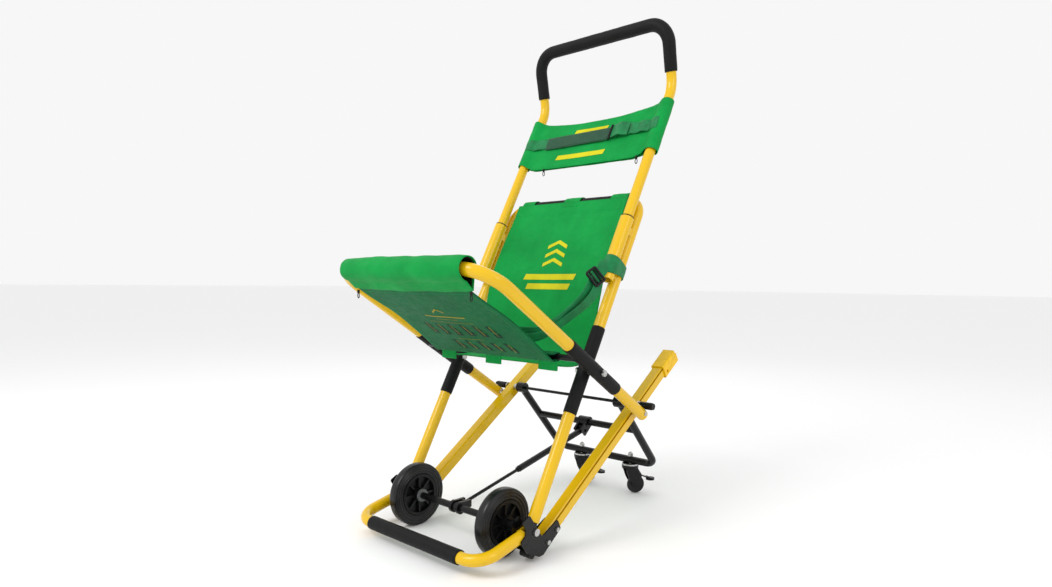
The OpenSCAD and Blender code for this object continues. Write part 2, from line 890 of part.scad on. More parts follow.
rail_left();
rail_right();
rail_caps();
track_belts();
front_pulley_left();
front_pulley_right();
rear_pulley_left();
rear_pulley_right();
bracket_outer_plates();
bracket_inner_plates();
rail_bolts();
main_pivot_bolts();
bracket_feet();
front_axle();
axle_clamp();
axle_spacers();
hub_washers();
front_tyre_left();
front_tyre_right();
front_hub_left();
front_hub_right();
caster_pivot_rod();
rod_spacers();
pivot_knobs();
back_frame_tube();
upright_end_plugs();
upright_sleeves();
top_bar_foam();
handle_receivers();
receiver_collars();
receiver_saddles();
receiver_screws();
seat_pivot_bolts();
backrest_fabric();
lap_strap();
strap_buckle();
handle_tube();
handle_grip();
head_support();
head_strap();
seat_frame_tube();
seat_sleeves();
seat_end_caps();
seat_slide_pins();
seat_rear_bar();
seat_roll();
seat_fabric();
footrest_frame();
footrest_grip();
caster_frame();
strut_mount();
strut_cylinder();
strut_rod();
caster_stems();
caster_fork_left();
caster_fork_right();
caster_wheel_left();
caster_wheel_right();
brake_lever_left();
brake_lever_right();
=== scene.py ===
import json
import math
import bpy
import numpy as np
from mathutils import Matrix, Vector, noise

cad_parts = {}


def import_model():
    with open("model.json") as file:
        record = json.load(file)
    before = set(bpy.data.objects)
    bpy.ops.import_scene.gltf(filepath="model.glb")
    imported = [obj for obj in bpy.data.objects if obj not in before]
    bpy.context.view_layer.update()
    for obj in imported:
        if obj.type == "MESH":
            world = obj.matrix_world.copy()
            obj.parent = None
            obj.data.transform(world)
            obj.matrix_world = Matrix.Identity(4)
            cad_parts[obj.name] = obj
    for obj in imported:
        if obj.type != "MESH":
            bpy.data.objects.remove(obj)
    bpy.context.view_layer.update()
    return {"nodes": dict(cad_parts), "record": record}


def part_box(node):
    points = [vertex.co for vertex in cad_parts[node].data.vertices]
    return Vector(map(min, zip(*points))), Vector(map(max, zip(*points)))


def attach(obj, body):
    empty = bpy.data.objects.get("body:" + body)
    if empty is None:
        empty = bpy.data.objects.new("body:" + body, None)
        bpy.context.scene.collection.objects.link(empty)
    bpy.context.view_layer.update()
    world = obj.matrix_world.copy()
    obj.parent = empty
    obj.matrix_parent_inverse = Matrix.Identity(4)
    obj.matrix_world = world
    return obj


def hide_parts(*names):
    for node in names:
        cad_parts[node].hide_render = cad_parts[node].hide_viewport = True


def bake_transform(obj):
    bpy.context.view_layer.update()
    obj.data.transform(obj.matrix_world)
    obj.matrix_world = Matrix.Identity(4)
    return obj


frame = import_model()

# ---- Frame and named sizes (millimetres; side view is y to the rear from the front axle, z up) ----
lo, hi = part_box("front_axle")
AXLE_Y = (lo.y + hi.y) / 2 * 1000
PIVOT = np.array([20.0, 67.0])  # where the back frame, the rails and the footrest meet
BACK, SEAT, TRACK, FOOT, HANDLE = 61.4, 147.8, 35.0, 192.7, 102.5  # directions in degrees
OFFSET = 32.0  # the handle tube's centre line ahead of the upright's
UPRIGHT_X, SEAT_X = 202.0, 238.0
HANDLE_X = 204.0  # where the head support turns round the handle tubes
CLOTH = 1.8  # thickness of most cloth and webbing
CROSSBAR_R, GRIP_R, SLEEVE_R = 17.0, 16.0, 15.5  # foam radii
SIDES = (("left", 1), ("right", -1))
CAM_AZ, CAM_EL, CAM_ROLL = 0.7481, 0.1184, 0.0121  # the camera's angles in radians
FACE = np.array([math.sin(CAM_AZ) * math.cos(CAM_EL), -math.cos(CAM_AZ) * math.cos(CAM_EL), math.sin(CAM_EL)])
ACROSS = np.array([math.cos(CAM_AZ), math.sin(CAM_AZ), 0.0])
UPWARD = np.cross(FACE, ACROSS)


def rad(a):
    return math.radians(a)


def go(p, angle, along, across=0.0):
    """A side-view point at a distance along a direction, then to its left."""
    c, s = math.cos(rad(angle)), math.sin(rad(angle))
    return np.array([p[0] + along * c - across * s, p[1] + along * s + across * c])


def xyz(x, p):
    return np.array([x, p[0], p[1]], float)


def world(v):
    v = np.asarray(v, float)
    return np.stack([v[..., 0], v[..., 1] + AXLE_Y, v[..., 2]], -1) / 1000


SEAT_PIVOT = go(PIVOT, BACK, 366)
SEAT_BAR = go(SEAT_PIVOT, SEAT, 408)
REAR_BAR = go(SEAT_PIVOT, SEAT, 83, 10)
KINK = go(PIVOT, BACK, 1116, OFFSET)
SLOT = go(PIVOT, TRACK, 0, -34)
FOOT_BAR = go(PIVOT, FOOT, 150.7)
CROSSBAR = go(PIVOT, BACK, 812)
SEAM = np.array([-137.0, 568.0])  # where the roll meets the seat sling


# ---- Materials ----
class Nodes:
    """A material's node tree with short calls."""

    def __init__(self, name):
        self.mat = bpy.data.materials.new(name)
        self.mat.use_nodes = True
        self.t = self.mat.node_tree
        self.bsdf = self.t.nodes["Principled BSDF"]
        self.co = self.t.nodes.new("ShaderNodeTexCoord").outputs["Object"]

    def link(self, a, b):
        self.t.links.new(a, b)

    def noise(self, scale, detail=3.0, rough=0.55):
        n = self.t.nodes.new("ShaderNodeTexNoise")
        n.inputs["Scale"].default_value = scale
        n.inputs["Detail"].default_value = detail
        n.inputs["Roughness"].default_value = rough
        self.link(self.co, n.inputs["Vector"])
        return n.outputs["Fac"]

    def wave(self, direction, scale, distortion=0.0):
        n = self.t.nodes.new("ShaderNodeTexWave")
        n.wave_type = "BANDS"
        n.bands_direction = direction
        n.inputs["Scale"].default_value = scale
        n.inputs["Distortion"].default_value = distortion
        self.link(self.co, n.inputs["Vector"])
        return n.outputs["Fac"]

    def ramp(self, fac, a, b, ca, cb):
        n = self.t.nodes.new("ShaderNodeMapRange")
        n.inputs["From Min"].default_value = a
        n.inputs["From Max"].default_value = b
        n.inputs["To Min"].default_value = ca
        n.inputs["To Max"].default_value = cb
        self.link(fac, n.inputs["Value"])
        return n.outputs["Result"]

    def math(self, op, a, b):
        n = self.t.nodes.new("ShaderNodeMath")
        n.operation = op
        for i, v in enumerate((a, b)):
            if isinstance(v, (int, float)):
                n.inputs[i].default_value = v
            else:
                self.link(v, n.inputs[i])
        return n.outputs[0]

    def mix(self, fac, ca, cb):
        n = self.t.nodes.new("ShaderNodeMix")
        n.data_type = "RGBA"
        n.inputs["A"].default_value = (*ca, 1)
        n.inputs["B"].default_value = (*cb, 1)
        self.link(fac, n.inputs["Factor"])
        return n.outputs["Result"]

    def bump(self, height, strength, distance):
        n = self.t.nodes.new("ShaderNodeBump")
        n.inputs["Strength"].default_value = strength
        n.inputs["Distance"].default_value = distance
        self.link(height, n.inputs["Height"])
        self.link(n.outputs["Normal"], self.bsdf.inputs["Normal"])

    def set(self, **k):
        for name, v in k.items():
            self.bsdf.inputs[name.replace("_", " ")].default_value = v


def paint(name, color, rough, coat=0.0, spec=0.5):
    n = Nodes(name)
    dark = tuple(c * 0.965 for c in color)
    blotch = n.ramp(n.noise(9, 4), 0.3, 0.7, 0, 1)
    n.link(n.mix(blotch, dark, color), n.bsdf.inputs["Base Color"])
    n.link(n.ramp(n.noise(60, 6, 0.7), 0.3, 0.8, rough * 0.8, rough * 1.45), n.bsdf.inputs["Roughness"])
    n.bump(n.noise(900, 2), 0.06, 0.0006)
    n.set(Coat_Weight=coat, Coat_Roughness=0.1, IOR=1.5, Specular_IOR_Level=spec)
    return n.mat


def weave(name, color, scale=285.0, sheen=0.04, rough=0.66, strength=0.35):
    n = Nodes(name)
    dark = tuple(c * 0.8 for c in color)
    light = tuple(min(1, c * 1.1 + 0.002) for c in color)
    cloud = n.noise(11, 5, 0.6)
    n.link(n.mix(n.ramp(cloud, 0.3, 0.72, 0, 1), dark, light), n.bsdf.inputs["Base Color"])
    threads = n.math("ADD", n.wave("X", scale), n.math("MULTIPLY", n.wave("Z", scale), 0.9))
    threads = n.math("ADD", threads, n.math("MULTIPLY", n.noise(420, 3), 0.9))
    n.bump(threads, strength, 0.0004)
    n.link(n.ramp(n.noise(70, 4), 0.3, 0.7, rough - 0.07, rough + 0.1), n.bsdf.inputs["Roughness"])
    n.set(Sheen_Weight=sheen, Sheen_Roughness=0.4, Specular_IOR_Level=0.12)
    return n.mat


def ribbed(name, color):
    n = Nodes(name)
    dark = tuple(c * 0.6 for c in color)
    ribs = n.wave("Z", 150, 0.6)
    n.link(n.mix(n.ramp(n.noise(40, 4), 0.3, 0.7, 0, 1), dark, color), n.bsdf.inputs["Base Color"])
    n.bump(n.math("ADD", ribs, n.noise(600, 2)), 0.5, 0.0005)
    n.set(Roughness=0.45, Sheen_Weight=0.05, Specular_IOR_Level=0.25)
    return n.mat


def foam(name, color):
    n = Nodes(name)
    light = tuple(c * 1.5 for c in color)
    n.link(n.mix(n.ramp(n.noise(35, 5), 0.35, 0.75, 0, 1), color, light), n.bsdf.inputs["Base Color"])
    n.bump(n.math("ADD", n.noise(1100, 4, 0.7), n.math("MULTIPLY", n.noise(110, 3), 1.5)), 0.45, 0.0006)
    n.set(Roughness=0.55, Specular_IOR_Level=0.16)
    return n.mat


def moulded(name, color, rough=0.45, grain=700.0, strength=0.2, spec=0.22):
    n = Nodes(name)
    light = tuple(c * 1.3 + 0.001 for c in color)
    n.link(n.mix(n.ramp(n.noise(30, 4), 0.35, 0.7, 0, 1), color, light), n.bsdf.inputs["Base Color"])
    n.link(n.ramp(n.noise(80, 4), 0.3, 0.7, rough * 0.85, rough * 1.25), n.bsdf.inputs["Roughness"])
    n.bump(n.noise(grain, 3), strength, 0.0005)
    n.set(Specular_IOR_Level=spec)
    return n.mat


def metal(name, color, rough=0.3):
    n = Nodes(name)
    dark = tuple(c * 0.7 for c in color)
    n.link(n.mix(n.ramp(n.noise(140, 6), 0.35, 0.7, 0, 1), dark, color), n.bsdf.inputs["Base Color"])
    n.link(n.ramp(n.noise(260, 5), 0.3, 0.7, rough * 0.7, rough * 1.5), n.bsdf.inputs["Roughness"])
    n.bump(n.noise(1500, 2), 0.1, 0.0003)
    n.set(Metallic=1.0)
    return n.mat


GREEN = (0.001, 0.3, 0.052)
M = {
    "yellow_paint": paint("yellow_powder_coat", (0.76, 0.465, 0.004), 0.2, 0.25, 0.3),
    "cap_plastic": moulded("yellow_plastic", (0.74, 0.445, 0.004), 0.3, 500, 0.1, 0.3),
    "black_paint": paint("black_powder_coat", (0.004, 0.004, 0.0045), 0.26, 0.08, 0.22),
    "bright_steel": metal("zinc_plate", (0.62, 0.62, 0.61)),
    "pulley_metal": metal("turned_aluminium", (0.7, 0.7, 0.72), 0.35),
    "black_plastic": moulded("black_plastic", (0.004, 0.004, 0.0045), 0.34),
    "black_foam": foam("black_foam", (0.005, 0.005, 0.0053)),
    "belt_rubber": moulded("belt_rubber", (0.007, 0.007, 0.007), 0.6, 500, 0.4, 0.2),
    "tyre_rubber": moulded("tyre_rubber", (0.005, 0.005, 0.0055), 0.3, 380, 0.12, 0.34),
    "green_fabric": weave("green_fabric", GREEN),
    "green_webbing": ribbed("green_webbing", (0.001, 0.22, 0.06)),
    "grey_plastic": moulded("grey_plastic", (0.13, 0.135, 0.14), 0.5),
}
# The seat sling's cloth: a darker green than the backrest's, painted shade for the sling's underside, which
# faces the floor.
shaded_seat_cloth = weave("seat_cloth_painted_shade", (0.001, 0.125, 0.038), 285, 0.0, 0.6, 0.3)
lining = weave("black_lining", (0.007, 0.008, 0.008), 350)
thread = moulded("green_thread", (0.004, 0.36, 0.09), 0.6, 2500, 0.5)
ink = weave("yellow_print", (0.66, 0.6, 0.012), 285, 0.0, 0.55, 0.2)
# The seat's yellow print at about half the brightness of the backrest's print: painted shade on the
# underside.
shaded_ink = weave("yellow_print_painted_shade", (0.34, 0.28, 0.02), 285, 0.0, 0.6, 0.2)
dark_ink = weave("dark_print_underside", (0.001, 0.035, 0.02), 285, 0.0, 0.6, 0.2)
hook_tape = weave("hook_tape", (0.004, 0.085, 0.032), 520, 0.3, 0.85, 0.8)
slots = {s["node"]: s["material_slot"] for s in frame["record"]["subparts"]}
for node, obj in frame["nodes"].items():
    for ms in obj.material_slots:
        ms.material = M[slots[node]]


# ---- Mesh helpers ----
def mesh(name, verts, faces, mat, body, smooth=True):
    me = bpy.data.meshes.new(name)
    used = {v: k for k, v in enumerate(sorted({i for f in faces for i in f}))}
    faces = [tuple(used[i] for i in f) for f in faces]
    me.from_pydata([tuple(v) for v in world(np.asarray(verts)[list(used)])], [], faces)
    me.materials.append(mat)
    if smooth:
        me.polygons.foreach_set("use_smooth", [True] * len(me.polygons))
    me.update()
    me.validate()
    ob = bpy.data.objects.new(name, me)
    bpy.context.collection.objects.link(ob)
    if body:
        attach(ob, body)
    return ob


def resample(path, step):
    path = np.asarray(path, float)
    d = np.r_[0, np.cumsum(np.linalg.norm(np.diff(path, axis=0), axis=1))]
    n = max(2, int(round(d[-1] / step)) + 1)
    s = np.linspace(0, d[-1], n)
    return np.stack([np.interp(s, d, path[:, k]) for k in range(path.shape[1])], 1)


def smooth_path(points, step=6.0):
    """A Catmull-Rom curve through points, then evenly spaced."""
    p = np.asarray(points, float)
    p = np.vstack([2 * p[0] - p[1], p, 2 * p[-1] - p[-2]])
    out = []
    for i in range(1, len(p) - 2):
        a, b, c, d = p[i - 1], p[i], p[i + 1], p[i + 2]
        for t in np.linspace(0, 1, 12, endpoint=False):
            out.append(0.5 * (2 * b + (c - a) * t + (2 * a - 5 * b + 4 * c - d) * t * t
                              + (3 * b - a - 3 * c + d) * t ** 3))
    out.append(p[-2])
    return resample(out, step)


def frames(path):
    """Unit tangents and a pair of normals carried along the path without twist."""
    t = np.gradient(path, axis=0)
    t /= np.linalg.norm(t, axis=1)[:, None]
    n = np.cross(t[0], [1.0, 0, 0])
    if np.linalg.norm(n) < 0.3:
        n = np.cross(t[0], [0, 0, 1.0])
    ns = []
    for k in t:
        n = n - k * n.dot(k)
        n /= np.linalg.norm(n)
        ns.append(n)
    ns = np.array(ns)
    return t, ns, np.cross(t, ns)


def sweep(name, path, r, mat, body, sides=32, edge=1.5, ripple=0.0, seed=0.0):
    """A round bar along a path, with softly rounded ends."""
    path = np.asarray(path, float)
    t, n, b = frames(path)
    ends = []  # how far each end ring is shifted, and how much smaller it is
    for k in range(3):
        a = math.pi / 2 * k / 3
        ends.append((edge * (1 - math.cos(a)), edge * (1 - math.sin(a))))
    rings = [(path[0] + t[0] * shift, n[0], b[0], r - less) for shift, less in ends]
    rings += [(path[i], n[i], b[i], r) for i in range(1, len(path) - 1)]
    rings += [(path[-1] - t[-1] * shift, n[-1], b[-1], r - less) for shift, less in reversed(ends)]
    verts = []
    for centre, across, along, radius in rings:
        for s in range(sides):
            a = 2 * math.pi * s / sides
            d = across * math.cos(a) + along * math.sin(a)
            q = centre + d * radius
            if ripple:
                coarse = noise.noise(Vector((q * 0.035 + seed).tolist()))
                fine = noise.noise(Vector((q * 0.11 + seed).tolist()))
                q = centre + d * (radius - ripple * (0.5 + 0.5 * (coarse + 0.5 * fine)))
            verts.append(q)
    m = len(rings)
    faces = []
    for i in range(m - 1):
        for s in range(sides):
            near, far, k = i * sides, (i + 1) * sides, (s + 1) % sides
            faces.append((far + s, far + k, near + k, near + s))
    faces.append(tuple(range(sides)))
    faces.append(tuple((m - 1) * sides + s for s in reversed(range(sides))))
    return mesh(name, verts, faces, mat, body)


def normals(P, closed_u=False):
    du = np.gradient(P, axis=0)
    if closed_u:
        du[0] = du[-1] = (P[1] - P[-2]) / 2
    dv = np.gradient(P, axis=1)
    n = np.cross(du, dv)
    return n / np.linalg.norm(n, axis=2)[..., None]


class Sheet:
    """A piece of cloth of some thickness over a grid of points, with rounded rims."""

    def __init__(self, name, P, thick, mat, body, slot="green_fabric", closed=False):
        self.P = P
        self.N = normals(P, closed)
        nu, nv = P.shape[:2]
        th = np.broadcast_to(np.asarray(thick, float), (nu, nv))
        self.T = th
        # The rim is one ring of points set outside the middle of the edge.
        front = P + self.N * th[..., None] / 2
        back = P - self.N * th[..., None] / 2
        verts = list(front.reshape(-1, 3)) + list(back.reshape(-1, 3))
        idx = np.arange(nu * nv).reshape(nu, nv)
        if closed:
            idx[-1] = idx[0]
        off = nu * nv
        faces = []
        for i in range(nu - 1):
            for j in range(nv - 1):
                a, b, c, d = idx[i, j], idx[i + 1, j], idx[i + 1, j + 1], idx[i, j + 1]
                faces.append((a, b, c, d))
                faces.append((a + off, d + off, c + off, b + off))
        if closed:
            loops = [[(i, 0) for i in range(nu - 1)], [(i, nv - 1) for i in range(nu - 2, -1, -1)]]
        else:
            loops = [[(i, 0) for i in range(nu)] + [(nu - 1, j) for j in range(1, nv)]
                     + [(i, nv - 1) for i in range(nu - 2, -1, -1)] + [(0, j) for j in range(nv - 2, 0, -1)]]
        for loop in loops:
            rim = []
            for i, j in loop:
                out = np.zeros(3)
                if j == 0:
                    out += P[i, 0] - P[i, 1]
                if j == nv - 1:
                    out += P[i, -1] - P[i, -2]
                if not closed and i == 0:
                    out += P[0, j] - P[1, j]
                if not closed and i == nu - 1:
                    out += P[-1, j] - P[-2, j]
                out /= max(np.linalg.norm(out), 1e-9)
                rim.append(len(verts))
                verts.append(P[i, j] + out * th[i, j] * 0.42)
            m = len(loop)
            for k in range(m):
                a, b = loop[k], loop[(k + 1) % m]
                ra, rb = rim[k], rim[(k + 1) % m]
                fa, fb = idx[a], idx[b]
                faces.append((fa, ra, rb, fb))
                faces.append((ra, fa + off, fb + off, rb))
        self.ob = mesh(name, verts, faces, mat, body)
        self.body = body

    def at(self, u, v, side=1, lift=0.0):
        nu, nv = self.P.shape[:2]
        a, b = u * (nu - 1), v * (nv - 1)
        i, j = min(int(a), nu - 2), min(int(b), nv - 2)
        fa, fb = a - i, b - j

        def mixed(A):
            return (A[i, j] * (1 - fa) * (1 - fb) + A[i + 1, j] * fa * (1 - fb)
                    + A[i, j + 1] * (1 - fa) * fb + A[i + 1, j + 1] * fa * fb)
        n = mixed(self.N)
        n = n / np.linalg.norm(n)
        return mixed(self.P) + n * side * (mixed(self.T[..., None])[0] / 2 + lift), n * side


def stitches(name, rows, body, pitch=5.0, long=3.4, wide=0.8):
    """Rows of thread: each row is (sheet, list of (u, v), side)."""
    verts, faces = [], []
    for sheet, row, side in rows:
        pts = np.array([sheet.at(u, v, side, 0.1)[0] for u, v in row])
        nrm = np.array([sheet.at(u, v, side)[1] for u, v in row])
        line = resample(np.hstack([pts, nrm]), pitch)
        for k in range(len(line) - 1):
            p, n = line[k, :3], line[k, 3:]
            d = line[k + 1, :3] - p
            d /= max(np.linalg.norm(d), 1e-9)
            s = np.cross(n, d)
            a, c = p, p + d * long
            base = len(verts)
            for q, w in ((a, 0.45), ((a + c) / 2, 1.0), (c, 0.45)):
                verts += [q - s * wide / 2 * w - n * 0.25, q + n * 0.4 * w, q + s * wide / 2 * w - n * 0.25]
            for g in (0, 3):
                faces += [(base + g, base + g + 1, base + g + 4, base + g + 3),
                          (base + g + 1, base + g + 2, base + g + 5, base + g + 4),
                          (base + g + 2, base + g, base + g + 3, base + g + 5)]
            faces += [(base, base + 2, base + 1), (base + 6, base + 7, base + 8)]
    return mesh(name, verts, faces, thread, body)


def prints(name, sheet, shapes, mat, side=1):
    """Flat printed shapes on a sheet: each is four corners in the sheet's (u, v)."""
    verts, faces = [], []
    for quad in shapes:
        q = np.array(quad, float)
        m = 6
        base = len(verts)
        for i in range(m + 1):
            for j in range(m + 1):
                a, b = i / m, j / m
                uv = q[0] * (1 - a) * (1 - b) + q[1] * (1 - a) * b + q[2] * a * b + q[3] * a * (1 - b)
                verts.append(sheet.at(uv[0], uv[1], side, 0.55)[0])
        for i in range(m):
            for j in range(m):
                k = base + i * (m + 1) + j
                faces.append((k, k + 1, k + m + 2, k + m + 1))
    return mesh(name, verts, faces, mat, sheet.body)


def revolve(name, centre, profile, mat, body, seg=112):
    """A ring about a line across the chair: profile is a closed list of (radius, x)."""
    verts, m = [], len(profile)
    for s in range(seg):
        a = 2 * math.pi * s / seg
        for r, x in profile:
            verts.append([centre[0] + x, centre[1] + r * math.cos(a), centre[2] + r * math.sin(a)])
    faces = [(s * m + k, s * m + (k + 1) % m, ((s + 1) % seg) * m + (k + 1) % m, ((s + 1) % seg) * m + k)
             for s in range(seg) for k in range(m)]
    return mesh(name, verts, faces, mat, body)


def wob(P, amp, scale, seed=0.0):
    """Soft noise over a grid of points, from minus amp to amp."""
    flat = P.reshape(-1, 3)
    w = np.array([noise.noise(Vector((q * scale + seed).tolist())) for q in flat])
    return (w * amp).reshape(P.shape[:2])


def u_path(half, start, to, bend, place, step=6.0):
    """The middle line of a U, from one leg round to the other. place maps (x, along) to a point."""
    pts = [(half, start), (half, to - bend)]
    for a in np.linspace(0, math.pi / 2, 14)[1:]:
        pts.append((half - bend + bend * math.cos(a), to - bend + bend * math.sin(a)))
    right = [(-x, s) for x, s in reversed(pts)]
    return resample([place(x, s) for x, s in pts + right], step)


# ---- Foam sleeves ----
def leaning(p0, angle):
    return lambda x, s: xyz(x, go(p0, angle, s))


def foam_sleeve(name, path, r, body, node=None, ripple=0.5):
    """A foam sleeve, standing in for a CAD node if one is named."""
    ob = sweep(name, path, r, M["black_foam"], body, ripple=ripple)
    if node:
        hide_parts(node)


def straight(a, b):
    return resample([a, b], 6)


foam_sleeve("grip_foam", u_path(UPRIGHT_X, 36, 150.7, 50, leaning(KINK, HANDLE), step=5), GRIP_R, "handle",
            "handle_grip", ripple=0.7)
foam_sleeve("crossbar_foam", straight(xyz(-156, CROSSBAR), xyz(156, CROSSBAR)), CROSSBAR_R, "back_frame",
            "top_bar_foam")
foam_sleeve("footrest_foam", straight(xyz(-146, FOOT_BAR), xyz(146, FOOT_BAR)), GRIP_R, "footrest",
            "footrest_grip", ripple=0.6)
for side, sx in SIDES:
    upright = [xyz(sx * UPRIGHT_X, go(PIVOT, BACK, along)) for along in (263, 473)]
    rail = [xyz(sx * SEAT_X, go(SEAT_PIVOT, SEAT, along)) for along in (123, -82)]
    foam_sleeve(f"upright_foam_{side}", straight(*upright), SLEEVE_R, "back_frame",
                "upright_sleeves" if sx > 0 else None, ripple=0.3)
    foam_sleeve(f"seat_foam_{side}", straight(*rail), SLEEVE_R, "seat_frame",
                "seat_sleeves" if sx > 0 else None, ripple=0.3)


# ---- Front tyres ----
def tyre_profile():
    """Half a tyre's section as (radius, x), with three grooves, then its mirror image."""
    side = [(50, 11.0), (52, 12.6), (55.4, 13.6), (56.4, 11.8), (57.4, 11.8), (58.8, 13.8), (62.6, 13.9),
            (63.6, 12.0), (64.6, 12.0), (66.0, 13.8), (68.4, 13.2), (69.4, 11.4), (70.4, 11.4), (71.6, 12.0),
            (73.6, 10.2), (74.6, 7.5), (75.0, 5.0)]
    return side + [(r, -x) for r, x in reversed(side)]


for side, sx in SIDES:
    lo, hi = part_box(f"front_tyre_{side}")
    c = ((lo.x + hi.x) * 500, 0.0, (lo.z + hi.z) * 500)
    ob = revolve(f"front_wheel_tyre_{side}", c, tyre_profile(), M["tyre_rubber"], f"front_wheel_{side}")
    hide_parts(f"front_tyre_{side}")


# ---- Toothed track belts ----
BELT_HALF, BELT_LOOP, BELT_LENGTH = 10.0, 7.2, 570.0


def belt(side, sx):
    """A flat ribbed belt round two pulleys, inside the rail."""
    start, middle = 14.0, -15.0
    turn = np.linspace(0, math.pi, 16)[1:-1]
    path = [(s, middle + BELT_LOOP) for s in np.linspace(0, BELT_LENGTH, 160)]
    path += [(BELT_LENGTH + BELT_LOOP * math.sin(a), middle + BELT_LOOP * math.cos(a)) for a in turn]
    path += [(s, middle - BELT_LOOP) for s in np.linspace(BELT_LENGTH, 0, 160)]
    path += [(-BELT_LOOP * math.sin(a), middle - BELT_LOOP * math.cos(a)) for a in turn]
    line = np.array([go(SLOT, TRACK, start + s, v) for s, v in path])
    n = len(line)
    tan = np.roll(line, -1, 0) - np.roll(line, 1, 0)
    tan /= np.linalg.norm(tan, axis=1)[:, None]
    out = np.stack([-tan[:, 1], tan[:, 0]], 1)
    verts = []
    for k in range(n):
        rib = 1.75 if (k // 2) % 2 else 1.1
        half, flat = BELT_HALF, BELT_HALF - 0.8
        section = ((-half, -0.7), (-half, rib - 0.4), (-flat, rib),
                   (flat, rib), (half, rib - 0.4), (half, -0.7))
        for w, h in section:
            p = line[k] + out[k] * h
            verts.append([sx * UPRIGHT_X + w, p[0], p[1]])
    faces = []
    for k in range(n):
        ring, after = k * 6, (k + 1) % n * 6
        for j in range(6):
            side_j = (j + 1) % 6
            faces.append((ring + j, after + j, after + side_j, ring + side_j))
    return mesh(f"tread_belt_{side}", verts, faces, M["belt_rubber"], "track_base", False)


belts = [belt(side, sx) for side, sx in SIDES]
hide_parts("track_belts")


# ---- Backrest ----
def outward(line):
    """Unit vectors in the side view, to the left of a line's direction."""
    t = np.gradient(line, axis=0)
    t /= np.linalg.norm(t, axis=1)[:, None]
    return np.stack([-t[:, 1], t[:, 0]], 1)


FRONT = 18.6  # the backrest ahead of the crossbar's centre
HEM = 38  # the thicker strip along its top
COLUMNS = 61  # points across the backrest and the seat
BACK_STEP = 5.0  # between its rows of points
back_line = [go(PIVOT, BACK, along, FRONT) for along in (809, 795, 632)]
back_line += [(273, 528), (262, 458), (247, 420), (218, 401), (180, 397), (136, 402)]
back_line = smooth_path(back_line, BACK_STEP)
back_rows = len(back_line)
shares = np.linspace(-1, 1, COLUMNS)
rear = outward(back_line)
grid = np.zeros((back_rows, COLUMNS, 3))
for i in range(back_rows):
    s = i / (back_rows - 1)
    half = 175 + 9 * s
    for j, x in enumerate(shares):
        belly = 7.0 * (1 - x * x) * math.sin(math.pi * min(1, s * 1.25)) ** 0.8 if s < 0.8 else 0.0
        curl = -3.0 * max(0.0, abs(x) - 0.93) / 0.07 * (0.4 + 0.6 * math.sin(9 * s + (1 if x > 0 else 4)))
        q = back_line[i] + rear[i] * (belly + curl)
        grid[i, j] = [x * half, q[0], q[1]]
calm = np.clip((np.arange(back_rows) - 8) / 20, 0.12, 1)[:, None]
grid[..., 1] += (wob(grid, 2.2, 0.014, 3.1) + wob(grid, 0.5, 0.05, 8.0)) * calm
thick = np.full((back_rows, COLUMNS), 1.6)
thick[:, :4] = thick[:, -4:] = 2.5
hem_rows = int(round(HEM / BACK_STEP))
thick[:hem_rows] = 4.4
backrest = Sheet("backrest_cloth", grid, thick, M["green_fabric"], "back_frame")
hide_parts("backrest_fabric")
rows = []
for u in (0.012, (hem_rows - 1.3) / back_rows, (hem_rows - 2.6) / back_rows):
    rows.append((backrest, [(u, v) for v in np.linspace(0.01, 0.99, 40)], 1))
    rows.append((backrest, [(u, v) for v in np.linspace(0.01, 0.99, 40)], -1))
for v in (0.018, 0.048, 0.952, 0.982):
    for sd in (1, -1):
        rows.append((backrest, [(u, v) for u in np.linspace(0.02, 0.985, 60)], sd))
stitches("backrest_stitching", rows, "back_frame")

# The loops that go over the crossbar, between the stretches of foam.
LOOP_R = 18.9
for number, (x0, x1) in enumerate(((-163, -123), (-21, 28), (123, 172)), 1):
    line = [go(PIVOT, BACK, 796, 18.8), go(PIVOT, BACK, 804, LOOP_R)]
    for a in np.linspace(0, 200, 26):
        line.append(go(CROSSBAR, BACK + 90 - a, LOOP_R))
    line += [go(PIVOT, BACK, 790, -14.5), go(PIVOT, BACK, 772, 4), go(PIVOT, BACK, 766, 14.0)]
    line = resample(line, 3.0)
    grid = np.array([[[x, y, z] for x in np.linspace(x0, x1, 9)] for y, z in line])
    grid[..., 2] += wob(grid, 0.7, 0.06, x0)
    Sheet(f"crossbar_loop_{number}", grid, 1.6, M["green_fabric"], "back_frame")

# A plain printed emblem of chevrons and bars on the backrest.
def v_of(x, u):
    return 0.5 + x / (2 * (175 + 9 * u))


def u_of(z):
    zs = back_line[:, 1]
    k = int(np.argmin(np.abs(zs[: back_rows // 2 + 30] - z)))
    return k / (back_rows - 1)


def block(x0, x1, z0, z1, skew=0.0):
    ua, ub = u_of(z1), u_of(z0)
    return [(ua, v_of(x0 + skew, ua)), (ua, v_of(x1 + skew, ua)), (ub, v_of(x1, ub)), (ub, v_of(x0, ub))]


def chevron(z, wing):
    """Half a chevron, from its tip down to its wing."""
    corners = ((z, 8), (z - 9, 8), (z - 25, wing), (z - 16, wing))
    return [(u_of(height), v_of(x, 0.2)) for height, x in corners]


emblem = [chevron(692 - 22 * k, wing) for k in range(3) for wing in (-22, 38)]
bars = [block(-72, 88, 592, 606, 5), block(-60, 76, 566, 580, 5), block(-48, 60, 546, 550)]
prints("backrest_print", backrest, emblem + bars, ink, 1)

